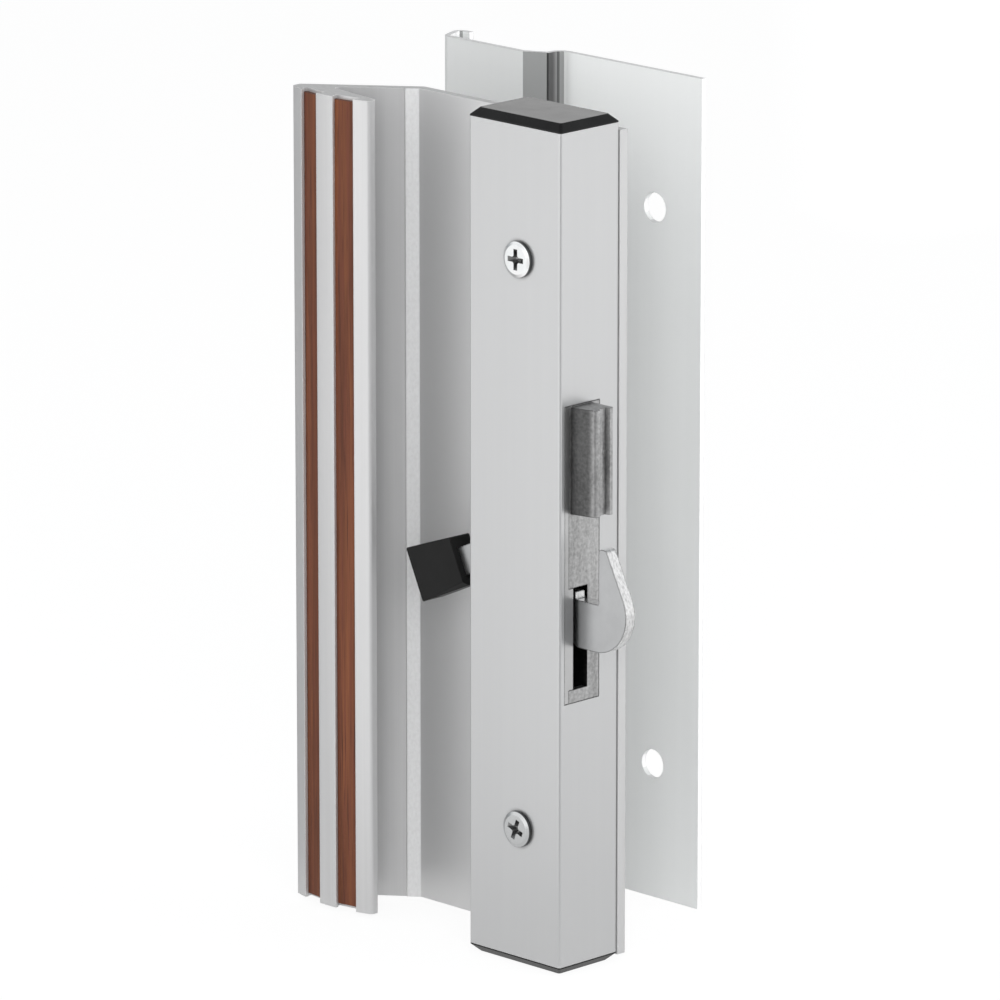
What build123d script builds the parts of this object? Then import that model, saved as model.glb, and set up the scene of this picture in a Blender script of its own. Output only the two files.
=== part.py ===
"""Hook latch handle set for a sliding patio door.

Millimetres, +Z up. The origin lies on the door face of the inside pull, midway between the two
mounting screws. -Y points into the room, +Y through the door, +X towards the jamb that the hook
catches. The outside pull stands behind the inside one, as a set that isn't fitted yet.
"""
import os
from math import acos, atan2, cos, degrees, hypot, radians, sin, sqrt, tan

from build123d import *

os.makedirs("parts", exist_ok=True)

# Inside pull: one extrusion with a flat plate, a slanted web and a bowed grip
pull_length = 195.75
pull_drop = 1.3              # the pull sits this much lower than the housing's middle
plate_t = 2.4
plate_overhang = 0.2         # the plate's end past the housing's side
band_width = 3.3             # raised band beside the fold
band_angle = 43.0
band_rise = 0.35
web_t = 2.2
web_angle = 38.7
grip_width = 25.6
grip_middle = 62.3           # from the screws to the middle of the grip
fold_inside = 10.6           # from the grip's middle back to the front fold
grip_proud = 1.4             # the grip's crest in front of the housing's face
grip_arch_r = 38.0
grip_edge_t = 2.25
grip_taper = 8.2             # slope of the grip's back, in degrees
grip_nose_r = 1.0
valley_r = 1.5

# Wood-grain strips that slide into two grooves of the grip
groove_spread = 11.4         # between the grooves' middles, along the arch
groove_mouth = 5.9
groove_depth = 2.2
strip_t = 1.2
strip_undercut = 0.45        # how far each lip holds the strip
strip_play = 0.06
strip_inset = 0.9            # the strip's end inside the extrusion's end

# Housing: a rectangular tube with a plug in each end
house_width = 29.4
house_depth = 19.05
house_length = 196.85
house_wall = 1.5
house_corner_r = 0.6
screw_from_edge = 16.2       # from the housing's lever side to the screws
cap_height = 2.0
cap_chamfer = 1.7
plug_depth = 8.0
plug_wall = 1.3
plug_play = 0.12

# Mounting screws and the sleeves that stop the tube from being crushed
screw_spacing = 134.94
screw_r = 2.08
screw_neck_r = 1.85          # the plain part between the head and the thread
screw_head_r = 4.25
screw_head_t = 1.25
screw_rim = 0.85             # height of the head's straight side, below the bevel
screw_flat_r = 3.55
screw_behind_plate = 10.3
screw_play = 0.25
screw_start = 0.2            # from the door face to the thread
screw_point = 0.6
sleeve_t = 1.45
screw_turns = (0.0, -20.0)   # how far each cross recess is turned, in degrees
drive_span = 4.8
drive_width = 1.1
drive_depth = 1.7
drive_taper = 14.0

# Latch case: a casting whose faceplate fills a window in the housing's side
case_length = 70.2
case_shift = -0.4            # the case's middle above the screws' middle
case_back_depth = 11.2       # from the tube's front wall to the back of the casting
case_behind_lever_wall = 2.2
window_play = 0.12
cover_t = 1.35
cover_play = 0.1
faceplate_t = 1.8
case_wall = 1.6
floor_t = 3.75
chamber_below_top = 14.7     # the hook's chamber ends this far below the case's top
chamber_corner_r = 1.0
slot_height = 24.25
slot_above_bottom = 3.0      # from the case's bottom to the slot
cover_lip = 1.5              # how far the cover's folded lip reaches into the slot
guide_length = 25.1
guide_below_top = 0.3
guide_height = 6.6
guide_near = 2.05            # from the tube's front wall to the guide's near side
guide_far = 9.1
guide_draft = 12.0           # lean of the guide's near side, in degrees
guide_nose = 1.4
guide_rim = 1.25
guide_dip = 1.1
guide_dip_lean = 0.35
guide_nose_r = 1.1
guide_rim_r = 0.4

# Hook and lever: one steel plate that turns about the pivot pin
plate_gap = 0.7              # between the hook plate and the case's floor
hook_t = 3.0
pivot_above = 1.4
pivot_from_edge = 15.0       # from the housing's lever side
pivot_r = 2.5
pivot_play = 0.05
hub_r = 11.0
swing = 58.0
throat_width = 7.2
arm_top = -11.15
hook_bottom = -22.45
hook_round_r = 9.55
hook_past_face = 15.9
tip_top = 2.1
tip_width = 2.3
tip_r = 0.95
throat_r = 0.4
shoulder_inset = 0.2         # from the housing's face back to the arm's shoulder
shoulder_top = -9.4
shoulder_edge_r = 0.5
neck_r = 2.5
heel_x = 0.3                 # from the housing's face to the arm's lower corner
lever_drop = 24.9            # degrees that the lever hangs below level
lever_width = 6.6
lever_in_knob = 10.0
lever_clearance = 1.2
knob_start = 24.9            # from the pivot to the knob's near end
knob_length = 15.0
knob_near_above = 6.1        # at its near end, above and below the lever's middle line
knob_near_below = 5.8
knob_far_above = 7.5
knob_far_below = 5.7
knob_t = 6.5
knob_bevel = 1.1             # the lower front edge is cut off, more and more towards the lever
knob_bevel_depth = 1.6
knob_edge_r = 0.5
knob_play = 0.04

# Small parts of the mechanism
pin_shoulder_r = 4.2
pin_shoulder_play = 0.08
stop_r = 1.5
stop_radius = 10.5           # from the pivot to the stop pin
stop_angle = 70.0
stop_over_travel = 1.0       # degrees left at each end of the swing
stop_play = 0.1
stop_bite = 3.0
washer_r = 5.5
washer_t = 0.3
washer_bow = 0.3
clip_t = 0.7
clip_play = 0.05
clip_groove = 0.7
clip_width = 1.7
clip_mouth = 2.9
rivet_r = 1.2
rivet_flush_r = 2.1
rivet_head_r = 2.2
rivet_head_t = 0.8
rivet_inset = 2.4            # from the case's edges to the rivets
boss_r = 2.4
case_screw_r = 1.5
case_screw_shoulder_r = 2.4  # bears on the casting and keeps it off the tube's back wall
case_screw_head_r = 3.6
case_screw_bite = 2.6
case_screw_x = 7.2           # from the pivot towards the hook
case_screw_inset = 8.1       # from the case's ends to its screws
hole_play = 0.1

# Outside pull: one thin extrusion with a finger channel and a returned lip
outer_length = 200.5
outer_t = 1.3
outer_behind = 39.55         # from the door face to its near side
outer_right = -1.1
outer_plate_width = 46.0
outer_wall = 3.9
outer_slope_x = 5.8
outer_slope_y = 3.0
outer_flange = 26.3
outer_lip_lean = 3.4
outer_return = 5.3
outer_bend_r = 1.0
outer_fold_r = 2.4
outer_hole_r = 3.55
outer_hole_inset = 14.9

# Places worked out from the sizes above
house_left = -screw_from_edge
house_right = house_left + house_width
house_back = -plate_t
house_front = house_back - house_depth
wall_front = house_front + house_wall
wall_back = house_back - house_wall
house_mid_x = (house_left + house_right) / 2
house_mid_y = (house_front + house_back) / 2
pull_bottom = -pull_length / 2 - pull_drop
set_bottom = -house_length / 2 - cap_height
plate_reach = grip_middle - fold_inside
screw_heights = (screw_spacing / 2, -screw_spacing / 2)

case_left = house_left + case_behind_lever_wall
case_top = case_shift + case_length / 2
case_bottom = case_shift - case_length / 2
case_near = wall_front + cover_t
case_back = wall_front + case_back_depth
floor_front = case_back - floor_t
faceplate_back = house_right - faceplate_t
hook_back = floor_front - plate_gap
hook_front = hook_back - hook_t
pivot_x = house_left + pivot_from_edge
pivot = (pivot_x, pivot_above)
upper_rivet = (case_left + rivet_inset, case_top - rivet_inset)
lower_rivet = (case_left + rivet_inset, case_bottom + rivet_inset)
case_screw_places = (
    (pivot_x + case_screw_x, case_top - case_screw_inset),
    (pivot_x + case_screw_x, case_bottom + case_screw_inset),
)
chamber_top = case_top - chamber_below_top
slot_bottom = case_bottom + slot_above_bottom
slot_top = slot_bottom + slot_height
guide_top = case_top - guide_below_top
guide_bottom = guide_top - guide_length
lever_angle = 180 + lever_drop


def facing(y):
    """A plane at depth y, seen from the room: x to the right, z up, extruding into the room."""
    return Plane.XZ.offset(-y)


def shifted(p, distance, angle):
    """The point at a distance from p, in a direction in degrees."""
    return (p[0] + distance * cos(radians(angle)), p[1] + distance * sin(radians(angle)))


def meet(p, p_angle, q, q_angle):
    """Where a line through p and a line through q cross, each in its direction in degrees."""
    px, py = cos(radians(p_angle)), sin(radians(p_angle))
    qx, qy = cos(radians(q_angle)), sin(radians(q_angle))
    along = ((q[0] - p[0]) * qy - (q[1] - p[1]) * qx) / (px * qy - py * qx)
    return (p[0] + along * px, p[1] + along * py)


def touch_angle(centre, radius, point, side):
    """The angle on a circle, in degrees, where a line from a point touches it."""
    dx, dy = point[0] - centre[0], point[1] - centre[1]
    return degrees(atan2(dy, dx) + side * acos(radius / hypot(dx, dy)))


def corner(point):
    """The vertex of the open sketch that lies nearest to a point."""
    return vertices().sort_by_distance((point[0], point[1], 0))[0]


def save(part, name):
    """Label a finished piece and write it under its node's name."""
    part.label = name
    export_step(part, f"parts/{name}.step")


# Inside pull
fold = (-plate_reach, -plate_t)
band_end = shifted(fold, band_width, 180 + band_angle)
web_start = shifted(band_end, band_rise, 90 + band_angle)
web_back = shifted(web_start, web_t, 90 + web_angle)
grip_left = -grip_middle - grip_width / 2
grip_right = -grip_middle + grip_width / 2
crest = (-grip_middle, house_front - grip_proud)
arch_middle_y = crest[1] + grip_arch_r
arch_end_y = arch_middle_y - sqrt(grip_arch_r**2 - (grip_width / 2) ** 2)
grip_heel = (grip_right, arch_end_y + grip_edge_t)
valley = meet(web_start, web_angle, grip_heel, -grip_taper)
back_rim = meet(web_back, web_angle, (grip_left, 0), 90)
back_fold = meet(web_back, web_angle, (0, 0), 0)
groove_angle = degrees(groove_spread / 2 / grip_arch_r)


def groove_place(side):
    """The middle of a groove's mouth on the arch, turned square to it."""
    x = -grip_middle + grip_arch_r * sin(radians(side * groove_angle))
    y = arch_middle_y - grip_arch_r * cos(radians(side * groove_angle))
    return Location((x, y, 0), (0, 0, side * groove_angle))


with BuildPart() as inner_pull:
    with BuildSketch(Plane.XY.offset(pull_bottom)):
        with BuildLine():
            Polyline(
                (grip_right, arch_end_y),
                grip_heel,
                valley,
                web_start,
                band_end,
                fold,
                (house_right + plate_overhang, -plate_t),
                (house_right + plate_overhang, 0),
                back_fold,
                back_rim,
                (grip_left, arch_end_y),
            )
            ThreePointArc((grip_left, arch_end_y), crest, (grip_right, arch_end_y))
        make_face()
        fillet(corner(valley), valley_r)
        fillet(corner(grip_heel), grip_nose_r)
        fillet(corner((grip_right, arch_end_y)), grip_nose_r)
        fillet(corner((grip_left, arch_end_y)), grip_nose_r)
        fillet(corner(back_rim), grip_nose_r)
        fillet(corner(back_fold), valley_r)
        fillet(corner(band_end), band_rise / 2)
        for side in (-1, 1):
            with Locations(groove_place(side)):
                with Locations((0, groove_depth)):
                    Rectangle(
                        groove_mouth,
                        groove_depth * 2,
                        align=(Align.CENTER, Align.MAX),
                        mode=Mode.SUBTRACT,
                    )
                    Rectangle(
                        groove_mouth + 2 * strip_undercut,
                        strip_t + strip_play,
                        align=(Align.CENTER, Align.MAX),
                        mode=Mode.SUBTRACT,
                    )
    extrude(amount=pull_length)
    with BuildSketch(facing(0)):
        with Locations(*[(0, z) for z in screw_heights]):
            Circle(screw_r + screw_play)
    extrude(amount=plate_t, mode=Mode.SUBTRACT)
save(inner_pull.part, "inner_pull")

for name, side in (("left_wood_strip", -1), ("right_wood_strip", 1)):
    with BuildPart() as wood_strip:
        with BuildSketch(Plane.XY.offset(pull_bottom + strip_inset)):
            with Locations(groove_place(side)):
                with Locations((0, groove_depth)):
                    Rectangle(
                        groove_mouth + 2 * (strip_undercut - strip_play),
                        strip_t,
                        align=(Align.CENTER, Align.MAX),
                    )
        extrude(amount=pull_length - 2 * strip_inset)
    save(wood_strip.part, name)

# Housing tube, with a slot for the lever, a window for the case and countersunk holes behind
lever_lift = swing - lever_drop
lever_slot_bottom = (
    pivot_above - pivot_from_edge * tan(radians(lever_drop))
    - lever_width / 2 / cos(radians(lever_drop)) - lever_clearance
)
lever_slot_top = (
    pivot_above + pivot_from_edge * tan(radians(lever_lift))
    + lever_width / 2 / cos(radians(lever_lift)) + lever_clearance
)
lever_slot_width = hook_t + 2 * plate_gap

with BuildPart() as housing_tube:
    with BuildSketch(Plane.XY.offset(-house_length / 2)):
        with Locations((house_mid_x, house_mid_y)):
            RectangleRounded(house_width, house_depth, house_corner_r)
            Rectangle(house_width - 2 * house_wall, house_depth - 2 * house_wall, mode=Mode.SUBTRACT)
    extrude(amount=house_length)
    with BuildSketch(facing(house_back)):
        with Locations(*[(0, z) for z in screw_heights]):
            Circle(screw_r + screw_play)
    extrude(amount=house_depth, mode=Mode.SUBTRACT)
    with BuildSketch(Plane.YZ.offset(house_right - house_wall)):
        with Locations((wall_front, case_shift)):
            Rectangle(
                case_back_depth + window_play,
                case_length + 2 * window_play,
                align=(Align.MIN, Align.CENTER),
            )
    extrude(amount=house_wall, mode=Mode.SUBTRACT)
    with BuildSketch(Plane.YZ.offset(house_left)):
        with Locations(((hook_front + hook_back) / 2, (lever_slot_bottom + lever_slot_top) / 2)):
            SlotOverall(lever_slot_top - lever_slot_bottom, lever_slot_width, rotation=90)
    extrude(amount=house_wall, mode=Mode.SUBTRACT)
    for x, z in case_screw_places:
        with Locations(Plane((x, house_back, z), z_dir=(0, 1, 0))):
            Cone(
                case_screw_shoulder_r + hole_play,
                case_screw_head_r + hole_play,
                house_wall,
                align=(Align.CENTER, Align.CENTER, Align.MAX),
                mode=Mode.SUBTRACT,
            )
save(housing_tube.part, "housing_tube")

# Plugs for the tube's ends
for name, end in (("top_cap", 1), ("bottom_cap", -1)):
    cap_plane = Plane((house_mid_x, house_mid_y, end * house_length / 2), x_dir=(1, 0, 0), z_dir=(0, 0, end))
    with BuildPart() as cap:
        with BuildSketch(cap_plane):
            RectangleRounded(house_width, house_depth, house_corner_r)
        extrude(amount=cap_height - cap_chamfer)
        with BuildSketch(cap_plane.offset(cap_height - cap_chamfer)):
            RectangleRounded(house_width, house_depth, house_corner_r)
        with BuildSketch(cap_plane.offset(cap_height)):
            RectangleRounded(house_width - 2 * cap_chamfer, house_depth - 2 * cap_chamfer, house_corner_r)
        loft()
        plug_width = house_width - 2 * (house_wall + plug_play)
        plug_breadth = house_depth - 2 * (house_wall + plug_play)
        with BuildSketch(cap_plane):
            Rectangle(plug_width, plug_breadth)
            Rectangle(plug_width - 2 * plug_wall, plug_breadth - 2 * plug_wall, mode=Mode.SUBTRACT)
        extrude(amount=-plug_depth)
    save(cap.part, name)

# Mounting screws, with a low head and a cross recess, each through its own sleeve
for place, z, turn in zip(("upper", "lower"), screw_heights, screw_turns):
    with BuildPart() as mounting_screw:
        with BuildSketch(Plane.XY.offset(z)):
            with BuildLine():
                Polyline(
                    (0, house_front - screw_head_t),
                    (screw_flat_r, house_front - screw_head_t),
                    (screw_head_r, house_front - screw_rim),
                    (screw_head_r, house_front),
                    (screw_neck_r, house_front),
                    (screw_neck_r, screw_start),
                    (screw_r, screw_start),
                    (screw_r, screw_behind_plate - screw_point),
                    (screw_r - screw_point, screw_behind_plate),
                    (0, screw_behind_plate),
                    close=True,
                )
            make_face()
        revolve(axis=Axis((0, 0, z), (0, 1, 0)))
        with BuildSketch(facing(house_front - screw_head_t)):
            with Locations(Location((0, z, 0), (0, 0, turn))):
                Rectangle(drive_span, drive_width)
                Rectangle(drive_width, drive_span)
        extrude(amount=-drive_depth, taper=drive_taper, mode=Mode.SUBTRACT)
    save(mounting_screw.part, f"{place}_mounting_screw")

    with BuildPart() as screw_sleeve:
        with BuildSketch(facing(wall_back)):
            with Locations((0, z)):
                Circle(screw_r + screw_play + sleeve_t)
                Circle(screw_r + screw_play, mode=Mode.SUBTRACT)
        extrude(amount=wall_back - wall_front)
    save(screw_sleeve.part, f"{place}_screw_sleeve")

# Latch case: an open tray with a faceplate, a slot for the hook and a guide block
chamber_bottom = case_bottom + case_wall
pocket_bottom = chamber_top + case_wall
pocket_top = case_top - case_wall
guide_crest = house_right + guide_height
guide_near_y = wall_front + guide_near
guide_far_y = wall_front + guide_far
nose_start_y = guide_near_y + guide_height * tan(radians(guide_draft))

with BuildPart() as latch_case:
    with BuildSketch(facing(case_back)):
        with Locations(((case_left + house_right) / 2, case_shift)):
            Rectangle(house_right - case_left, case_length)
    extrude(amount=case_back - case_near)
    with BuildSketch(facing(floor_front)):
        with Locations((case_left - chamber_corner_r, (chamber_bottom + chamber_top) / 2)):
            RectangleRounded(
                faceplate_back - case_left + chamber_corner_r,
                chamber_top - chamber_bottom,
                chamber_corner_r,
                align=(Align.MIN, Align.CENTER),
            )
        with Locations(((faceplate_back + house_right) / 2, (slot_bottom + slot_top) / 2)):
            Rectangle(faceplate_t, slot_top - slot_bottom)
        with Locations(((case_left + case_wall + faceplate_back) / 2, (pocket_bottom + pocket_top) / 2)):
            RectangleRounded(
                faceplate_back - case_left - case_wall, pocket_top - pocket_bottom, chamber_corner_r
            )
    extrude(amount=floor_front - case_near, mode=Mode.SUBTRACT)
    with BuildSketch(facing(floor_front)):
        for x, z in (upper_rivet, lower_rivet):
            with Locations((x, z)):
                Circle(boss_r)
    extrude(amount=floor_front - case_near)
    with BuildSketch(Plane.XY.offset(guide_bottom)):
        with BuildLine():
            Polyline(
                (house_right, guide_near_y),
                (guide_crest, nose_start_y),
                (guide_crest, nose_start_y + guide_nose),
                (guide_crest - guide_dip, nose_start_y + guide_nose + guide_dip_lean),
                (guide_crest - guide_dip, guide_far_y - guide_rim - guide_dip_lean),
                (guide_crest, guide_far_y - guide_rim),
                (guide_crest, guide_far_y),
                (house_right, guide_far_y),
                close=True,
            )
        make_face()
        fillet(corner((guide_crest, nose_start_y)), guide_nose_r)
        fillet(corner((guide_crest, guide_far_y)), guide_rim_r)
    extrude(amount=guide_top - guide_bottom)
    with BuildSketch(facing(case_back)):
        with Locations(pivot):
            Circle(pivot_r + pivot_play)
        with Locations(upper_rivet, lower_rivet):
            Circle(rivet_r)
    extrude(amount=case_back - case_near, mode=Mode.SUBTRACT)
    with BuildSketch(facing(floor_front)):
        with Locations(shifted(pivot, stop_radius, stop_angle)):
            Circle(stop_r)
    extrude(amount=-stop_bite, mode=Mode.SUBTRACT)
    with BuildSketch(facing(case_back)):
        with Locations(*case_screw_places):
            Circle(case_screw_r)
    extrude(amount=case_screw_bite, mode=Mode.SUBTRACT)
save(latch_case.part, "latch_case")

# Cover of the case, with a lip folded into the slot
with BuildPart() as case_cover:
    with BuildSketch(facing(case_near)):
        with Locations(((case_left + house_right) / 2, case_shift)):
            Rectangle(house_right - case_left, case_length)
    extrude(amount=cover_t)
    with BuildSketch(facing(case_near)):
        with Locations((house_right - cover_t / 2, (slot_bottom + slot_top) / 2)):
            Rectangle(cover_t, slot_top - slot_bottom - 2 * cover_play)
    extrude(amount=-cover_lip)
    for x, z in (upper_rivet, lower_rivet):
        with Locations(Plane((x, case_near, z), z_dir=(0, -1, 0))):
            Cone(
                rivet_r,
                rivet_flush_r,
                cover_t,
                align=(Align.CENTER, Align.CENTER, Align.MIN),
                mode=Mode.SUBTRACT,
            )
save(case_cover.part, "case_cover")

for place, (x, z) in (("upper", upper_rivet), ("lower", lower_rivet)):
    with BuildPart() as case_rivet:
        with BuildSketch(Plane.XY.offset(z)):
            with BuildLine():
                Polyline(
                    (x, wall_front),
                    (x + rivet_flush_r, wall_front),
                    (x + rivet_r, case_near),
                    (x + rivet_r, case_back),
                    (x + rivet_head_r, case_back),
                    (x + rivet_head_r, case_back + rivet_head_t),
                    (x, case_back + rivet_head_t),
                    close=True,
                )
            make_face()
        revolve(axis=Axis((x, 0, z), (0, 1, 0)))
    save(case_rivet.part, f"{place}_case_rivet")

# Countersunk shoulder screws that hold the case in the tube
for place, (x, z) in zip(("upper", "lower"), case_screw_places):
    with BuildPart() as case_screw:
        with BuildSketch(Plane.XY.offset(z)):
            with BuildLine():
                Polyline(
                    (x, house_back),
                    (x + case_screw_head_r, house_back),
                    (x + case_screw_shoulder_r, wall_back),
                    (x + case_screw_shoulder_r, case_back),
                    (x + case_screw_r, case_back),
                    (x + case_screw_r, case_back - case_screw_bite),
                    (x, case_back - case_screw_bite),
                    close=True,
                )
            make_face()
        revolve(axis=Axis((x, 0, z), (0, 1, 0)))
    save(case_screw.part, f"{place}_case_screw")

# Pivot pin with a shoulder in front and a groove for its clip behind
clip_front = case_back + clip_play
clip_back = clip_front + clip_t
groove_r = pivot_r - clip_groove

with BuildPart() as pivot_pin:
    with BuildSketch(Plane.XY.offset(pivot_above)):
        with BuildLine():
            Polyline(
                (pivot_x, case_near + cover_play),
                (pivot_x + pin_shoulder_r, case_near + cover_play),
                (pivot_x + pin_shoulder_r, hook_front - pin_shoulder_play),
                (pivot_x + pivot_r, hook_front - pin_shoulder_play),
                (pivot_x + pivot_r, clip_front),
                (pivot_x + groove_r, clip_front),
                (pivot_x + groove_r, clip_back + clip_play),
                (pivot_x + pivot_r, clip_back + clip_play),
                (pivot_x + pivot_r, clip_back + clip_t),
                (pivot_x, clip_back + clip_t),
                close=True,
            )
        make_face()
    revolve(axis=Axis((pivot_x, 0, pivot_above), (0, 1, 0)))
save(pivot_pin.part, "pivot_pin")

with BuildPart() as pivot_clip:
    with BuildSketch(facing(clip_back)):
        with Locations(pivot):
            Circle(groove_r + clip_play + clip_width)
            Circle(groove_r + clip_play, mode=Mode.SUBTRACT)
            Rectangle(clip_mouth, washer_r, align=(Align.CENTER, Align.MAX), mode=Mode.SUBTRACT)
    extrude(amount=clip_t)
save(pivot_clip.part, "pivot_clip")

# Bowed washer that keeps the hook where it is put
bow_low = floor_front - pivot_play
bow_high = bow_low - washer_bow

with BuildPart() as friction_washer:
    with BuildSketch(Plane.XY.offset(pivot_above - washer_r)):
        with BuildLine():
            ThreePointArc((pivot_x - washer_r, bow_low), (pivot_x, bow_high), (pivot_x + washer_r, bow_low))
            Line((pivot_x + washer_r, bow_low), (pivot_x + washer_r, bow_low - washer_t))
            ThreePointArc(
                (pivot_x + washer_r, bow_low - washer_t),
                (pivot_x, bow_high - washer_t),
                (pivot_x - washer_r, bow_low - washer_t),
            )
            Line((pivot_x - washer_r, bow_low - washer_t), (pivot_x - washer_r, bow_low))
        make_face()
    extrude(amount=2 * washer_r)
    with BuildSketch(facing(floor_front)):
        with Locations(pivot):
            Circle(washer_r)
            Circle(pivot_r + pivot_play, mode=Mode.SUBTRACT)
    extrude(amount=plate_gap, mode=Mode.INTERSECT)
save(friction_washer.part, "friction_washer")

with BuildPart() as stop_pin:
    with BuildSketch(facing(floor_front + stop_bite)):
        with Locations(shifted(pivot, stop_radius, stop_angle)):
            Circle(stop_r)
    extrude(amount=floor_front + stop_bite - case_near - cover_play)
save(stop_pin.part, "stop_pin")

# Hook lever: hub, hook and thumb lever cut from one plate
throat_x = house_right + throat_width
round_middle = (house_right + hook_past_face - hook_round_r, hook_bottom + hook_round_r)
tip_outer = (throat_x + tip_width, tip_top)
heel = (house_right + heel_x, hook_bottom)
round_end = touch_angle(round_middle, hook_round_r, tip_outer, -1)
hub_touch = touch_angle(pivot, hub_r, heel, -1)
hub_side = (pivot_x + hub_r, pivot_above)
arm_shoulder = (house_right - shoulder_inset, shoulder_top)
arm_start = (arm_shoulder[0], arm_top)
neck = (hub_side[0], shoulder_top)
stop_path = CenterArc(pivot, stop_radius, stop_angle - stop_over_travel, swing + 2 * stop_over_travel)

with BuildPart() as hook_lever:
    with BuildSketch(facing(hook_back)):
        with BuildLine():
            Polyline(pivot, shifted(pivot, hub_r, hub_touch), heel, (round_middle[0], hook_bottom))
            bend = JernArc((round_middle[0], hook_bottom), (1, 0), hook_round_r, 90 + round_end)
            Polyline(bend @ 1, tip_outer, (throat_x, tip_top), (throat_x, arm_top), arm_start)
            Polyline(arm_start, arm_shoulder, neck, hub_side, pivot)
        make_face()
        fillet(corner(tip_outer), tip_r)
        fillet(corner((throat_x, tip_top)), tip_r)
        fillet(corner((throat_x, arm_top)), throat_r)
        fillet(corner(arm_start), throat_r)
        fillet(corner(arm_shoulder), shoulder_edge_r)
        fillet(corner(neck), neck_r)
        with Locations(Location((*pivot, 0), (0, 0, lever_angle))):
            Rectangle(knob_start + lever_in_knob, lever_width, align=(Align.MIN, Align.CENTER))
        with Locations(pivot):
            Circle(hub_r)
            Circle(pivot_r + pivot_play, mode=Mode.SUBTRACT)
        SlotArc(stop_path, 2 * (stop_r + stop_play), mode=Mode.SUBTRACT)
    extrude(amount=hook_t)
save(hook_lever.part, "hook_lever")

# Knob moulded on the lever's end
knob_back = (hook_front + hook_back) / 2 + knob_t / 2
along_lever = (cos(radians(lever_angle)), 0, sin(radians(lever_angle)))
knob_plane = Plane((pivot_x, knob_back, pivot_above), x_dir=along_lever, z_dir=(0, -1, 0))
tongue_plane = knob_plane.offset(knob_back - hook_back - knob_play)
knob_end = knob_start + knob_length
bevel_corners = (
    knob_plane.from_local_coords(Vector(knob_end, knob_far_below, knob_t)),
    knob_plane.from_local_coords(Vector(knob_start, knob_near_below - knob_bevel, knob_t)),
    knob_plane.from_local_coords(Vector(knob_start, knob_near_below, knob_t - knob_bevel_depth)),
)
bevel_across = bevel_corners[1] - bevel_corners[0]
bevel_plane = Plane(
    bevel_corners[0], x_dir=bevel_across, z_dir=bevel_across.cross(bevel_corners[2] - bevel_corners[0])
)

with BuildPart() as lever_knob:
    with BuildSketch(knob_plane):
        with BuildLine():
            Polyline(
                (knob_start, knob_near_below),
                (knob_end, knob_far_below),
                (knob_end, -knob_far_above),
                (knob_start, -knob_near_above),
                close=True,
            )
        make_face()
        fillet(vertices(), knob_edge_r)
    extrude(amount=knob_t)
    split(bisect_by=bevel_plane, keep=Keep.TOP)
    with BuildSketch(tongue_plane):
        with Locations((knob_start, 0)):
            Rectangle(
                lever_in_knob + knob_play,
                lever_width + 2 * knob_play,
                align=(Align.MIN, Align.CENTER),
            )
    extrude(amount=hook_t + 2 * knob_play, mode=Mode.SUBTRACT)
save(lever_knob.part, "lever_knob")

# Outside pull, standing level with the bottom cap
outer_middle_z = set_bottom + outer_length / 2
wall_x = outer_right - outer_plate_width
flange_y = outer_behind - outer_wall - outer_slope_y
flange_right = wall_x - outer_slope_x
flange_left = flange_right - outer_flange
lip_x = flange_left - outer_lip_lean
lip_y = outer_behind + outer_t

with BuildPart() as outer_pull:
    with BuildSketch(Plane.XY.offset(set_bottom)):
        with BuildLine():
            FilletPolyline(
                (outer_right, outer_behind),
                (wall_x, outer_behind),
                (wall_x, outer_behind - outer_wall),
                (flange_right, flange_y),
                (flange_left, flange_y),
                (lip_x, lip_y),
                (lip_x + outer_return, lip_y),
                radius=[outer_fold_r, outer_bend_r, outer_bend_r, outer_fold_r, outer_fold_r],
            )
            offset(amount=outer_t, side=Side.RIGHT)
        make_face()
    extrude(amount=outer_length)
    with BuildSketch(facing(outer_behind)):
        for z in screw_heights:
            with Locations((outer_right - outer_hole_inset, outer_middle_z + z)):
                Circle(outer_hole_r)
    extrude(amount=-outer_t, mode=Mode.SUBTRACT)
save(outer_pull.part, "outer_pull")
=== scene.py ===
"""Looks of the hook latch handle: finishes, screws, studio light and the photograph's camera.

Everything is in metres in the CAD frame: +Z up, -Y towards the room, +X towards the jamb.
"""

import math

import bmesh
import bpy
from mathutils import Matrix, Vector


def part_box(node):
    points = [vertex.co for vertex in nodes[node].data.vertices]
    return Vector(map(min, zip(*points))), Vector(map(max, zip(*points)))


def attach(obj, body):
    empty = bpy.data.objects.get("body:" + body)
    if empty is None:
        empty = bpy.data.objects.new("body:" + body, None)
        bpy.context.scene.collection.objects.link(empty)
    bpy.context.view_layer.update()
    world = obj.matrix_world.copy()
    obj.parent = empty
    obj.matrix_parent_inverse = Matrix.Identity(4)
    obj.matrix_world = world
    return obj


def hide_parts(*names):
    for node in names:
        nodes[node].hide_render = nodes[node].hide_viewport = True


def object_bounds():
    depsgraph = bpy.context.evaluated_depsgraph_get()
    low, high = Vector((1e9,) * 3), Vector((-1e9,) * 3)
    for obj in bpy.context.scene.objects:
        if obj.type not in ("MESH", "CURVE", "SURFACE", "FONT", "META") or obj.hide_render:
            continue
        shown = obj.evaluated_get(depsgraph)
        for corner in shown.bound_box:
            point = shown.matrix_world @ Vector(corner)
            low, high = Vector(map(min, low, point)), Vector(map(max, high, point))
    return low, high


MM = 0.001

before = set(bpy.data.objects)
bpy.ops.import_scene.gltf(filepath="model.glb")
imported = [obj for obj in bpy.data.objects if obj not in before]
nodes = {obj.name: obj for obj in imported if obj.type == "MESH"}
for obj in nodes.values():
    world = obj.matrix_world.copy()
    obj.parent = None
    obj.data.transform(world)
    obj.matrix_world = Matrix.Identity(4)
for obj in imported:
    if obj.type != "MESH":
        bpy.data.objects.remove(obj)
cad_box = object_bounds()

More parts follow.
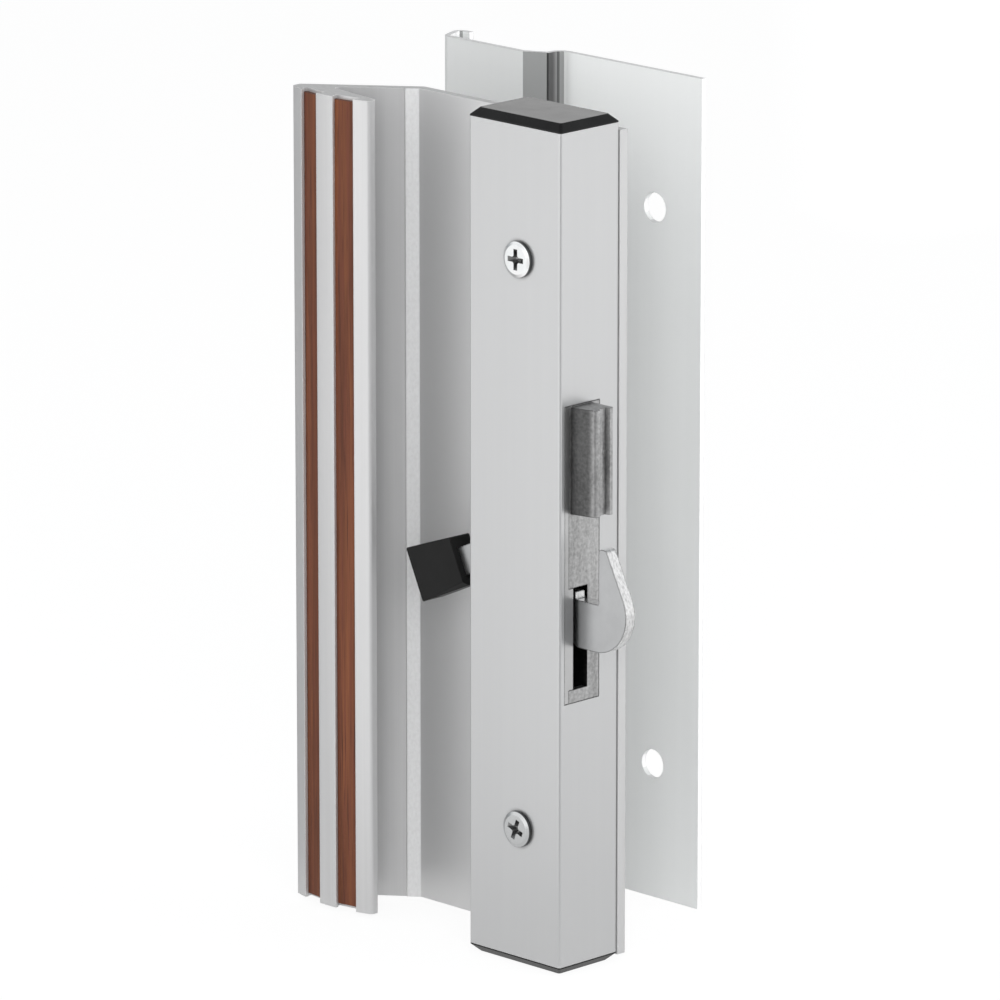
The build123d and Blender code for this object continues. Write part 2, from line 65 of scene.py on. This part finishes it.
# Camera of the photograph
CAMERA_AZIMUTH = 44.96
CAMERA_ELEVATION = 14.47
CAMERA_DISTANCE = 2071.0 * MM
CAMERA_LENS = 323.1
CAMERA_SENSOR = 36.0
CAMERA_AIM = Vector((-15.00, -12.58, 6.56)) * MM

# Places read from the frame
PLATE_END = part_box("inner_pull")[1][0]
TUBE_SPAN = (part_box("housing_tube")[0][2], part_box("housing_tube")[1][2])

# Places on the housing and its casting
END_LINE = 0.6 * MM
CASTING_NOSE = (17.5 * MM, 20.5 * MM)

# Places on the two pulls
BAND = (-54.2 * MM, -51.5 * MM)
PLATE_FRONT = -3.2 * MM
END_FACE = 0.1 * MM
OUTER_FOLD = -47.1 * MM
OUTER_FOLD_WIDTH = 0.6 * MM
OUTER_FOLD_SHADE = 4.5 * MM
OUTER_WALL = (36.8 * MM, 40.4 * MM)

# Mounting screws: No. 8 machine screws with 32 threads to the inch
HEAD_R = 4.25 * MM
HEAD_T = 1.25 * MM
HEAD_RIM = 0.85 * MM
HEAD_FLAT_R = 3.55 * MM
HEAD_EDGE = 0.12 * MM
NECK_R = 1.85 * MM
NECK_END = 0.2 * MM
THREAD_R = 2.08 * MM
THREAD_ROOT_R = 1.62 * MM
THREAD_PITCH = 25.4 / 32 * MM
THREAD_STEPS = 6
SCREW_POINT = 0.6 * MM
SCREW_SIDES = 48
THREAD_FLANKS = 1.25
RECESS_SPAN = 4.9 * MM
RECESS_WIDTH = 1.15 * MM
RECESS_DEPTH = 1.9 * MM
RECESS_FILLING = 0.35 * MM

# Lamps, with their azimuth and elevation in degrees, distance and size in metres, and power in watts
LAMPS = (
    ("key_lamp", -35, 42, 1.1, 0.8, 1.5),
    ("fill_lamp", 50, 20, 1.4, 0.9, 12.0),
    ("side_lamp", 125, 30, 1.4, 0.9, 4.0),
)

# The room as metal sees it: its level, and the azimuth, the elevation, the widest and the
# narrowest angle in degrees and the level of each brighter or darker part
ROOM_LEVEL = 0.92
ROOM_PARTS = (
    (-8, -12, 42, 12, 1.45),
    (45, -10, 46, 20, 0.45),
    (-95, -10, 48, 15, 0.35),
    (135, -12, 40, 15, 1.06),
    (225, 13, 35, 10, 1.25),
    (0, 90, 62, 40, 0.33),
)
DARK_TINT = (0.90, 0.95, 1.0, 1.0)

# Floor: half its side in metres, its glow for the camera and for metal, and how that glow falls off towards
# the object as painted shade
FLOOR_REACH = 8.0
FLOOR_GLOW = 0.86
FLOOR_WHITE = 1.06
FLOOR_FAR = 0.8
FLOOR_NEAR_LEVEL = 0.68


def direction(azimuth, elevation):
    """The unit vector from the object towards a viewer at an azimuth and an elevation in degrees."""
    a, e = math.radians(azimuth), math.radians(elevation)
    return Vector((math.sin(a) * math.cos(e), -math.cos(a) * math.cos(e), math.sin(e)))


def aim_at(obj, target):
    """Turn a lamp or a camera so that it looks at a point."""
    obj.rotation_euler = (target - obj.location).to_track_quat("-Z", "Y").to_euler()


def link(obj):
    """Put a new object into the scene."""
    bpy.context.scene.collection.objects.link(obj)
    return obj


def make_camera():
    """The photograph's camera, a long lens seen from above the corner of the housing."""
    data = bpy.data.cameras.new("photo_camera")
    data.lens = CAMERA_LENS
    data.sensor_width = CAMERA_SENSOR
    data.clip_start = 0.05
    data.clip_end = 60
    camera = link(bpy.data.objects.new("photo_camera", data))
    camera.location = CAMERA_AIM + direction(CAMERA_AZIMUTH, CAMERA_ELEVATION) * CAMERA_DISTANCE
    aim_at(camera, CAMERA_AIM)
    bpy.context.scene.camera = camera


class Finish:
    """One material as a stack of layers: a colour, a roughness and a bump that masks can change.

    The edges are rounded by a radius in metres, or not at all when it is 0.
    """

    def __init__(self, name, edge=0.2 * MM):
        self.material = bpy.data.materials.new(name)
        self.material.use_nodes = True
        self.tree = self.material.node_tree
        self.shader = self.tree.nodes["Principled BSDF"]
        self.coords = self.tree.nodes.new("ShaderNodeTexCoord")
        self.normal = None
        if edge:
            bevel = self.node("ShaderNodeBevel", samples=3)
            bevel.inputs["Radius"].default_value = edge
            self.soft = bevel.outputs["Normal"]
            self.normal = self.soft

    def node(self, kind, **settings):
        """Add a node with its settings."""
        made = self.tree.nodes.new(kind)
        for key, value in settings.items():
            setattr(made, key, value)
        return made

    def put(self, source, socket):
        """Join an output to an input, or write a plain value into it."""
        if isinstance(source, bpy.types.NodeSocket):
            self.tree.links.new(source, socket)
        else:
            socket.default_value = source

    def noise(self, scale, detail=3.0, roughness=0.55, distortion=0.0):
        """The strength of a noise texture, with its own scale along each axis of the object."""
        mapping = self.node("ShaderNodeMapping")
        mapping.inputs["Scale"].default_value = scale
        self.put(self.coords.outputs["Object"], mapping.inputs["Vector"])
        made = self.node("ShaderNodeTexNoise")
        self.put(mapping.outputs["Vector"], made.inputs["Vector"])
        made.inputs["Scale"].default_value = 1.0
        made.inputs["Detail"].default_value = detail
        made.inputs["Roughness"].default_value = roughness
        made.inputs["Distortion"].default_value = distortion
        return made.outputs["Fac"]

    def spread(self, value, low, high, to_low=0.0, to_high=1.0, smooth=False):
        """Map a value from one range to another, held at its ends."""
        made = self.node("ShaderNodeMapRange")
        if smooth:
            made.interpolation_type = "SMOOTHSTEP"
        self.put(value, made.inputs["Value"])
        for name, number in zip(("From Min", "From Max", "To Min", "To Max"), (low, high, to_low, to_high)):
            made.inputs[name].default_value = number
        return made.outputs["Result"]

    def maths(self, operation, first, second=0.0):
        """A maths node of two values."""
        made = self.node("ShaderNodeMath", operation=operation)
        self.put(first, made.inputs[0])
        self.put(second, made.inputs[1])
        return made.outputs["Value"]

    def both(self, first, *others):
        """The product of masks: 1 where all of them are 1."""
        for other in others:
            first = self.maths("MULTIPLY", first, other)
        return first

    def blend(self, *weighted):
        """The sum of values, each with its weight."""
        total = 0.0
        for value, weight in weighted:
            total = self.maths("ADD", self.maths("MULTIPLY", value, weight), total)
        return total

    def mix(self, factor, first, second):
        """A mix of two colours."""
        made = self.node("ShaderNodeMix", data_type="RGBA")
        self.put(factor, made.inputs["Factor"])
        self.put(first, made.inputs["A"])
        self.put(second, made.inputs["B"])
        return made.outputs["Result"]

    def axis(self, output, name):
        """One axis of the object's coordinates or of its normals."""
        made = self.node("ShaderNodeSeparateXYZ")
        self.put(self.coords.outputs[output], made.inputs["Vector"])
        return made.outputs[name]

    def turned(self, name, low, high=2.0):
        """A mask of the faces whose normal has one axis between two bounds."""
        return self.between(self.axis("Normal", name), low, high)

    def placed(self, name, low, high):
        """A mask of the points that lie between two bounds along one axis."""
        return self.between(self.axis("Object", name), low, high)

    def between(self, value, low, high):
        """1 where a value lies between two bounds."""
        return self.both(self.maths("GREATER_THAN", value, low), self.maths("LESS_THAN", value, high))

    def near_edges(self, flat=0.999, sharp=0.93):
        """1 close to an edge, where the rounded normal leaves the face's own."""
        face = self.node("ShaderNodeNewGeometry")
        made = self.node("ShaderNodeVectorMath", operation="DOT_PRODUCT")
        self.put(self.soft, made.inputs[0])
        self.put(face.outputs["Normal"], made.inputs[1])
        return self.spread(made.outputs["Value"], flat, sharp)

    def hollows(self, distance, open_share=0.75, closed_share=0.25):
        """1 in corners and recesses, from how much of the surroundings stands in the way."""
        made = self.node("ShaderNodeAmbientOcclusion", samples=4)
        made.inputs["Distance"].default_value = distance
        return self.spread(made.outputs["AO"], open_share, closed_share)

    def cover(self, mask, colour, rough=None):
        """Another colour and roughness where a mask is 1."""
        self.colour = self.mix(mask, self.colour, colour)
        if rough is not None:
            step = self.maths("MULTIPLY", self.maths("SUBTRACT", rough, self.rough), mask)
            self.rough = self.maths("ADD", self.rough, step)

    def dim(self, mask, factor):
        """A colour scaled by a factor where a mask is 1."""
        share = self.spread(mask, 0.0, 1.0, 1.0, factor)
        made = self.node("ShaderNodeVectorMath", operation="SCALE")
        self.put(self.colour, made.inputs[0])
        self.put(share, made.inputs["Scale"])
        self.colour = made.outputs["Vector"]

    def bump(self, height, distance, strength=1.0):
        """A bump from a height, with a depth in metres, on top of the rounded edges."""
        made = self.node("ShaderNodeBump")
        made.inputs["Strength"].default_value = strength
        made.inputs["Distance"].default_value = distance
        self.put(height, made.inputs["Height"])
        self.put(self.normal, made.inputs["Normal"])
        self.normal = made.outputs["Normal"]

    def done(self, **inputs):
        """Join the layers to the shader and write its plain inputs, with underscores for spaces."""
        self.put(self.colour, self.shader.inputs["Base Color"])
        self.put(self.rough, self.shader.inputs["Roughness"])
        if self.normal:
            self.put(self.normal, self.shader.inputs["Normal"])
        for key, value in inputs.items():
            self.shader.inputs[key.replace("_", " ")].default_value = value
        return self.material


def grey(level, tint=(1.0, 1.0, 1.0)):
    """A colour of one level with a slight tint."""
    return (level * tint[0], level * tint[1], level * tint[2], 1.0)


def aluminium(name, level, roughness, tint=(1.0, 1.0, 1.0), streaks=0.02):
    """Satin anodised extrusion: fine lines along its length, wider streaks and sawn ends."""
    f = Finish(name, 0.3 * MM)
    lines = f.noise((2600, 2600, 14), detail=2)
    wide = f.noise((420, 420, 5), detail=2)
    clouds = f.noise((30, 30, 12), detail=3)
    tone = f.blend((lines, 0.25), (wide, 0.45), (clouds, 0.30))
    dull, bright = grey(level * (1 - streaks), tint), grey(level * (1 + streaks), tint)
    f.colour = f.mix(f.spread(tone, 0.40, 0.60), dull, bright)
    f.rough = f.spread(lines, 0.3, 0.7, roughness * 0.94, roughness * 1.06)
    marks = f.noise((500, 2600, 2600), detail=2)
    sawn = f.maths("GREATER_THAN", f.maths("ABSOLUTE", f.axis("Normal", "Z")), 0.9)
    f.cover(sawn, f.mix(f.spread(marks, 0.3, 0.7), grey(level * 0.70), grey(level * 0.86)), 0.5)
    f.bump(lines, 0.01 * MM, 0.3)
    return f


def tube_finish():
    """The housing tube: the palest of the extrusions, with painted shade along its long edges and in its
    corners and a painted highlight on the edges at its two ends.
    """
    f = aluminium("tube_aluminium", 0.69, 0.34, tint=(0.995, 1.0, 1.005), streaks=0.008)
    low, high = TUBE_SPAN
    inner = f.placed("Z", low + END_LINE, high - END_LINE)
    # Painted shade: a dark line along the long edges, away from the two ends.
    f.dim(f.both(f.near_edges(), inner), 0.45)
    # Painted shade: darker in corners and recesses.
    f.dim(f.hollows(1.0 * MM, 0.85, 0.45), 0.30)
    # Painted highlight: white along the edges at the two ends.
    f.cover(f.both(f.near_edges(), f.maths("SUBTRACT", 1.0, inner)), grey(1.0), 0.3)
    return f.done(Metallic=0.85)


def pull_finish():
    """The inside pull: soft streaks, a pale speckled band beside its fold, a bright cut end, a front of the
    base plate painted paler as painted light and painted highlights along its edges.
    """
    f = aluminium("pull_aluminium", 0.66, 0.38, tint=(1.0, 0.998, 1.0), streaks=0.03)
    speckle = f.noise((1500, 1500, 900), detail=2)
    band = f.both(f.placed("X", *BAND), f.turned("X", 0.3), f.turned("Y", -2.0, -0.3))
    f.cover(band, f.mix(f.spread(speckle, 0.35, 0.65), grey(0.93), grey(1.0)), 0.5)
    cut = f.both(f.turned("X", 0.9), f.placed("X", PLATE_END - END_FACE, PLATE_END + END_FACE))
    f.cover(cut, grey(0.66), 0.4)
    # Painted light: the faces turned to the room behind PLATE_FRONT, the base plate's front, are a paler copy
    # of the metal to offset the shade there.
    f.cover(f.both(f.turned("Y", -2.0, -0.9), f.placed("Y", PLATE_FRONT, 1.0)), grey(0.78))
    # Painted highlight: a pale line along the edges.
    f.cover(f.near_edges(), grey(0.95), 0.3)
    return f.done(Metallic=0.62)


def outer_finish():
    """The outside pull: even and matte, with a painted dark reflection beside its fold, painted shade on the
    front faces left of the fold, on its slanted wall and on the wall of the fold, and bright cut edges
    painted white as painted light.
    """
    f = aluminium("outer_aluminium", 0.85, 0.50, tint=(0.985, 1.0, 0.992), streaks=0.006)
    fold = (OUTER_FOLD - OUTER_FOLD_WIDTH, OUTER_FOLD + OUTER_FOLD_WIDTH)
    across = f.axis("Object", "X")
    depth = f.axis("Object", "Y")
    left_of = f.placed("X", -1.0, fold[0])
    right_of = f.placed("X", fold[0], 1.0)
    front = f.turned("Y", -2.0, -0.9)
    # Painted dark reflection: the front beside the fold fades from dark over OUTER_FOLD_SHADE.
    beside = f.spread(across, OUTER_FOLD, OUTER_FOLD + OUTER_FOLD_SHADE, 1.0, 0.0, smooth=True)
    f.dim(f.both(beside, right_of, front), 0.72)
    # Painted shade: the front faces left of the fold are darker.
    f.dim(f.both(left_of, front), 0.80)
    # Painted shade: the slanted wall is darker.
    f.dim(f.both(f.turned("X", 0.4, 0.9), f.turned("Y", -2.0, -0.3)), 0.36)
    # Painted light: the faces turned to +X, the cut edges, are white.
    f.cover(f.turned("X", 0.9), grey(1.0), 0.4)
    # Painted shade: the wall at the fold is dark, less so towards its back.
    wall = f.both(f.turned("X", 0.6), f.placed("X", *fold))
    f.dim(f.both(wall, f.spread(depth, *OUTER_WALL, 1.0, 0.35, smooth=True)), 0.10)
    return f.done(Metallic=0.1)


def wood_grain():
    """Reddish brown printed grain that runs along the strip."""
    f = Finish("wood_grain", 0.1 * MM)
    wander = f.noise((420, 420, 8), detail=4, distortion=0.6)
    fibres = f.noise((2600, 2600, 22), detail=4, roughness=0.7)
    pores = f.noise((3800, 3800, 60), detail=2)
    f.colour = f.mix(f.spread(wander, 0.35, 0.65), (0.100, 0.031, 0.014, 1), (0.215, 0.072, 0.029, 1))
    f.cover(f.spread(fibres, 0.45, 0.62), (0.150, 0.046, 0.026, 1))
    f.cover(f.spread(pores, 0.56, 0.68, 0.0, 0.75), (0.050, 0.016, 0.010, 1))
    f.rough = f.spread(fibres, 0.3, 0.7, 0.48, 0.62)
    f.bump(pores, 0.04 * MM, 0.5)
    return f.done(Specular_IOR_Level=0.3)


def black_plastic(name, level, roughness, edge, gloss):
    """Moulded black plastic with a fine texture and faint patches."""
    f = Finish(name, edge)
    patches = f.noise((90, 90, 90), detail=3)
    f.colour = f.mix(f.spread(patches, 0.35, 0.65), grey(level * 0.8), grey(level * 1.25))
    f.rough = f.spread(patches, 0.3, 0.7, roughness * 0.85, roughness * 1.2)
    f.bump(f.noise((1800, 1800, 1800), detail=2), 0.01 * MM, 0.4)
    return f.done(Specular_IOR_Level=gloss)


def zinc_casting():
    """Grey die casting, mottled and pebbled, with painted shade: darker towards the room up to its nose, on
    its top and +X faces, along its edges and in its hollows, so that its nose stays paler.
    """
    f = Finish("zinc_casting", 0.3 * MM)
    pebbles = f.noise((1300, 1300, 1300), detail=3, roughness=0.6)
    blotches = f.noise((420, 420, 70), detail=4, roughness=0.65)
    tone = f.blend((pebbles, 0.45), (blotches, 0.55))
    f.colour = f.mix(f.spread(tone, 0.38, 0.62), grey(0.42), grey(0.78))
    # Painted shade: dark lines along the edges.
    f.dim(f.near_edges(0.99, 0.85), 0.45)
    f.rough = f.spread(blotches, 0.35, 0.65, 0.30, 0.48)
    # Painted shade: the faces turned to the room are dark up to the nose.
    room_side = f.spread(f.axis("Normal", "Y"), -0.45, -0.9)
    before_nose = f.spread(f.axis("Object", "X"), *CASTING_NOSE, 1.0, 0.0, smooth=True)
    f.dim(f.both(room_side, before_nose), 0.20)
    # Painted shade: the top faces are darker.
    f.dim(f.turned("Z", 0.7), 0.60)
    # Painted shade: the faces turned to +X are a little darker.
    f.dim(f.turned("X", 0.9), 0.82)
    # Painted shade: darker in hollows.
    f.dim(f.hollows(2.0 * MM, 0.75, 0.35), 0.18)
    f.bump(tone, 0.16 * MM, 0.8)
    return f.done(Metallic=1.0)


def plated_steel(name, level, roughness, tint=(1.0, 1.0, 1.0), edge=0.15 * MM):
    """Zinc plated steel with soft clouds."""
    f = Finish(name, edge)
    clouds = f.noise((160, 160, 160), detail=4)
    fine = f.noise((1700, 1700, 1700), detail=2)
    f.colour = f.mix(f.spread(clouds, 0.35, 0.65), grey(level * 0.95, tint), grey(level * 1.04, tint))
    f.rough = f.spread(fine, 0.3, 0.7, roughness * 0.88, roughness * 1.12)
    f.bump(fine, 0.02 * MM, 0.5)
    return f


def hook_finish():
    """The hook: satin faces, a speckled rim painted paler as painted light, its speckle being its own
    scratches, and a dark line of painted shade where they meet.
    """
    f = plated_steel("hook_steel", 0.58, 0.36, tint=(0.99, 1.0, 1.01), edge=0.4 * MM)
    # Painted light: the rim is paler than the faces; its speckle is its own scratches.
    rim = f.maths("LESS_THAN", f.maths("ABSOLUTE", f.axis("Normal", "Y")), 0.8)
    speckle = f.noise((900, 2200, 900), detail=4, roughness=0.7)
    f.cover(rim, f.mix(f.spread(speckle, 0.35, 0.60), grey(0.62), grey(1.0)), 0.3)
    # Painted shade: a dark line along the edges.
    f.dim(f.near_edges(0.999, 0.95), 0.12)
    return f.done(Metallic=1.0)


def cover_finish():
    """The case cover, with dark lines of painted shade along its cut edges."""
    f = plated_steel("cover_steel", 0.64, 0.32, edge=0.3 * MM)
    # Painted shade: dark lines along the edges.
    f.dim(f.near_edges(), 0.18)
    return f.done(Metallic=1.0)


def screw_finish(name, level):
    """Bright zinc plating, with painted shade darkening the rim of the head and the thread's flanks."""
    f = plated_steel(name, level, 0.22, tint=(0.985, 1.0, 1.005))
    # Painted shade: the sides, the head's rim and the thread's flanks, are darker.
    side = f.maths("LESS_THAN", f.maths("ABSOLUTE", f.axis("Normal", "Y")), 0.45)
    f.dim(side, 0.18)
    return f.done(Metallic=1.0)


def recess_finish():
    """The driven walls of a screw's cross recess: a darker copy of the steel as painted shade, darker still
    along its edges and in its hollows.
    """
    # Painted shade: the recess has a darker copy of the steel, darker still along its edges and in its
    # hollows.
    f = plated_steel("recess_steel", 0.45, 0.40)
    f.dim(f.near_edges(), 0.3)
    f.dim(f.hollows(1.5 * MM), 0.5)
    return f.done(Metallic=1.0)


def finish_nodes():
    """Give every CAD node its finish."""
    wood = wood_grain()
    cap = black_plastic("black_cap", 0.008, 0.22, 0.15 * MM, gloss=0.30)
    inner = plated_steel("inner_steel", 0.60, 0.35).done(Metallic=1.0)
    finishes = {
        "housing_tube": tube_finish(),
        "inner_pull": pull_finish(),
        "outer_pull": outer_finish(),
        "left_wood_strip": wood,
        "right_wood_strip": wood,
        "top_cap": cap,
        "bottom_cap": cap,
        "lever_knob": black_plastic("black_knob", 0.010, 0.38, 0.3 * MM, gloss=0.15),
        "latch_case": zinc_casting(),
        "hook_lever": hook_finish(),
        "case_cover": cover_finish(),
    }
    for name, node in nodes.items():
        node.data.materials.clear()
        node.data.materials.append(finishes.get(name, inner))


def thread_radius(depth, angle):
    """The radius of a V thread at a depth and an angle round the screw."""
    turn = (depth / THREAD_PITCH - angle / math.tau) % 1.0
    crest = min(1.0, THREAD_FLANKS * abs(2.0 * turn - 1.0))
    return THREAD_ROOT_R + (THREAD_R - THREAD_ROOT_R) * crest


def screw_rings(front, end):
    """The rings of a screw from its head to its point: a Y place and a radius, or None on the thread."""
    rings = [
        (front - HEAD_T, HEAD_FLAT_R - HEAD_EDGE),
        (front - HEAD_T + HEAD_EDGE / 2, HEAD_FLAT_R),
        (front - HEAD_RIM, HEAD_R - HEAD_EDGE / 2),
        (front - HEAD_RIM + HEAD_EDGE, HEAD_R),
        (front, HEAD_R),
        (front, NECK_R),
        (NECK_END, NECK_R),
    ]
    step = THREAD_PITCH / THREAD_STEPS
    count = int((end - SCREW_POINT - NECK_END) / step)
    rings += [(NECK_END + step * (k + 1), None) for k in range(count)]
    rings.append((end, THREAD_ROOT_R - SCREW_POINT / 3))
    return rings


def lathe_screw(name, centre, front, end):
    """A screw round a line along Y as one closed mesh: head, neck, helical thread and point."""
    bm = bmesh.new()
    grid = []
    for place, radius in screw_rings(front, end):
        ring = []
        for k in range(SCREW_SIDES):
            angle = math.tau * k / SCREW_SIDES
            r = thread_radius(place, angle) if radius is None else radius
            x, z = centre[0] + r * math.cos(angle), centre[1] + r * math.sin(angle)
            ring.append(bm.verts.new((x, place, z)))
        grid.append(ring)
    for ring, below in zip(grid, grid[1:]):
        for k in range(SCREW_SIDES):
            after = (k + 1) % SCREW_SIDES
            bm.faces.new((ring[k], ring[after], below[after], below[k]))
    bm.faces.new(grid[0][::-1])
    bm.faces.new(grid[-1])
    bmesh.ops.recalc_face_normals(bm, faces=bm.faces)
    mesh = bpy.data.meshes.new(name)
    bm.to_mesh(mesh)
    bm.free()
    return link(bpy.data.objects.new(name, mesh))


def cross_outline(half_span, half_width, filling):
    """The corners of a cross with filled inner corners, seen from the front."""
    points = []
    for k in range(4):
        turn = Matrix.Rotation(math.radians(90 * k), 2)
        for x, y in (
            (half_span, -half_width),
            (half_span, half_width),
            (half_width + filling, half_width),
            (half_width, half_width + filling),
        ):
            points.append(turn @ Vector((x, y)))
    return points


def cross_cutter(centre, top, turn):
    """A tapered cross with a pointed middle, which cuts the recess into a head."""
    levels = (
        (-0.2 * MM, 1.04, 1.0),
        (0.0, 1.0, 1.0),
        (RECESS_DEPTH * 0.72, 0.48, 0.62),
    )
    bm = bmesh.new()
    rotation = Matrix.Rotation(math.radians(turn), 2)
    rings = []
    for depth, span, width in levels:
        outline = cross_outline(RECESS_SPAN / 2 * span, RECESS_WIDTH / 2 * width, RECESS_FILLING * width)
        places = [rotation @ p for p in outline]
        rings.append([bm.verts.new((centre[0] + p.x, top + depth, centre[1] + p.y)) for p in places])
    for ring, below in zip(rings, rings[1:]):
        for k in range(len(ring)):
            after = (k + 1) % len(ring)
            bm.faces.new((ring[k], ring[after], below[after], below[k]))
    tip = bm.verts.new((centre[0], top + RECESS_DEPTH, centre[1]))
    last = rings[-1]
    for k in range(len(last)):
        bm.faces.new((last[k], last[(k + 1) % len(last)], tip))
    bm.faces.new(rings[0][::-1])
    bmesh.ops.recalc_face_normals(bm, faces=bm.faces)
    mesh = bpy.data.meshes.new("cross_cutter")
    bm.to_mesh(mesh)
    bm.free()
    return link(bpy.data.objects.new("cross_cutter", mesh))


def make_screw(place, level, turn, recess):
    """One detailed mounting screw in the place of its CAD node."""
    node = f"{place}_mounting_screw"
    low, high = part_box(node)
    centre = ((low[0] + high[0]) / 2, (low[2] + high[2]) / 2)
    screw = lathe_screw(f"{place}_threaded_screw", centre, low[1] + HEAD_T, high[1])
    cutter = cross_cutter(centre, low[1], turn)
    screw.data.materials.append(screw_finish(f"{place}_screw_steel", level))
    cutter.data.materials.append(recess)
    cut = screw.modifiers.new("recess", "BOOLEAN")
    cut.operation = "DIFFERENCE"
    cut.solver = "EXACT"
    cut.material_mode = "TRANSFER"
    cut.object = cutter
    shape = bpy.data.meshes.new_from_object(screw.evaluated_get(bpy.context.evaluated_depsgraph_get()))
    screw.modifiers.clear()
    screw.data = shape
    bpy.data.objects.remove(cutter)
    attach(screw, "handle")
    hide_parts(node)


def lobe(tree, vector, azimuth, elevation, far, near, to_near):
    """A level that changes smoothly from 1, between two angles in degrees from a direction."""
    dot = tree.nodes.new("ShaderNodeVectorMath")
    dot.operation = "DOT_PRODUCT"
    dot.inputs[1].default_value = direction(azimuth, elevation)
    tree.links.new(vector, dot.inputs[0])
    made = tree.nodes.new("ShaderNodeMapRange")
    made.interpolation_type = "SMOOTHSTEP"
    ends = (math.cos(math.radians(far)), math.cos(math.radians(near)), 1.0, to_near)
    for name, number in zip(("From Min", "From Max", "To Min", "To Max"), ends):
        made.inputs[name].default_value = number
    tree.links.new(dot.outputs["Value"], made.inputs["Value"])
    return made.outputs["Result"]


def times(tree, first, second):
    """The product of an output and of another output or a plain value."""
    made = tree.nodes.new("ShaderNodeMath")
    made.operation = "MULTIPLY"
    tree.links.new(first, made.inputs[0])
    if isinstance(second, float):
        made.inputs[1].default_value = second
    else:
        tree.links.new(second, made.inputs[1])
    return made.outputs["Value"]


def room_level(tree, vector):
    """The brightness of the room in a direction, dark above and at the camera."""
    level = times(tree, lobe(tree, vector, *ROOM_PARTS[0]), ROOM_LEVEL)
    for part in ROOM_PARTS[1:]:
        level = times(tree, lobe(tree, vector, *part), level)
    return level


def make_floor():
    """A pale floor with a soft shadow, white to the camera; the glow that metal sees follows the room and
    darkens near the object as painted shade.
    """
    side = FLOOR_REACH
    mesh = bpy.data.meshes.new("floor")
    low = cad_box[0][2]
    mesh.from_pydata(
        [(-side, -side, low), (side, -side, low), (side, side, low), (-side, side, low)], [], [(0, 1, 2, 3)]
    )
    floor = link(bpy.data.objects.new("floor", mesh))
    f = Finish("floor_white", edge=0.0)
    f.colour = grey(0.85)
    f.rough = 0.9
    f.done()
    place = f.node("ShaderNodeNewGeometry").outputs["Position"]
    far = f.node("ShaderNodeVectorMath", operation="LENGTH")
    f.put(place, far.inputs[0])
    outward = f.node("ShaderNodeVectorMath", operation="NORMALIZE")
    f.put(place, outward.inputs[0])
    # Painted shade: the glow that metal sees darkens towards the object's foot.
    foot_shade = f.spread(far.outputs["Value"], 0.0, FLOOR_FAR, FLOOR_NEAR_LEVEL, 1.0)
    level = f.both(room_level(f.tree, outward.outputs["Vector"]), foot_shade)
    paths = f.node("ShaderNodeLightPath")
    to_camera = paths.outputs["Is Camera Ray"]
    glow = f.node("ShaderNodeEmission")
    f.put(f.maths("MAXIMUM", f.maths("MULTIPLY", to_camera, FLOOR_WHITE), level), glow.inputs["Strength"])
    seen = f.maths("MAXIMUM", to_camera, paths.outputs["Is Glossy Ray"])
    blend = f.node("ShaderNodeMixShader")
    f.put(f.maths("MULTIPLY", seen, FLOOR_GLOW), blend.inputs["Fac"])
    f.put(f.shader.outputs["BSDF"], blend.inputs[1])
    f.put(glow.outputs["Emission"], blend.inputs[2])
    f.put(blend.outputs["Shader"], f.tree.nodes["Material Output"].inputs["Surface"])
    mesh.materials.append(f.material)


def make_world():
    """A white room to the camera and a shaded, slightly blue one to the object."""
    world = bpy.data.worlds.new("studio")
    bpy.context.scene.world = world
    world.use_nodes = True
    tree = world.node_tree
    background = tree.nodes["Background"]
    level = room_level(tree, tree.nodes.new("ShaderNodeTexCoord").outputs["Generated"])
    paths = tree.nodes.new("ShaderNodeLightPath")
    pick = tree.nodes.new("ShaderNodeMix")
    pick.data_type = "FLOAT"
    tree.links.new(paths.outputs["Is Camera Ray"], pick.inputs["Factor"])
    tree.links.new(level, pick.inputs["A"])
    pick.inputs["B"].default_value = 1.0
    tree.links.new(pick.outputs["Result"], background.inputs["Strength"])
    tint = tree.nodes.new("ShaderNodeMix")
    tint.data_type = "RGBA"
    tree.links.new(pick.outputs["Result"], tint.inputs["Factor"])
    tint.inputs["A"].default_value = DARK_TINT
    tint.inputs["B"].default_value = (1.0, 1.0, 1.0, 1.0)
    tree.links.new(tint.outputs["Result"], background.inputs["Color"])


def make_lamps():
    """Large soft lamps that metal doesn't show."""
    for name, azimuth, elevation, distance, size, power in LAMPS:
        data = bpy.data.lights.new(name, "AREA")
        data.size = size
        data.energy = power
        lamp = link(bpy.data.objects.new(name, data))
        lamp.location = direction(azimuth, elevation) * distance
        lamp.visible_glossy = False
        aim_at(lamp, Vector((0, 0, 0)))


make_camera()
finish_nodes()
recess = recess_finish()
make_screw("upper", 1.0, 0.0, recess)
# Painted shade: the lower screw's plating is a darker copy of the upper one's, 0.70 against 1.0.
make_screw("lower", 0.70, -20.0, recess)
make_floor()
make_world()
make_lamps()
bpy.context.scene.view_settings.view_transform = "Standard"
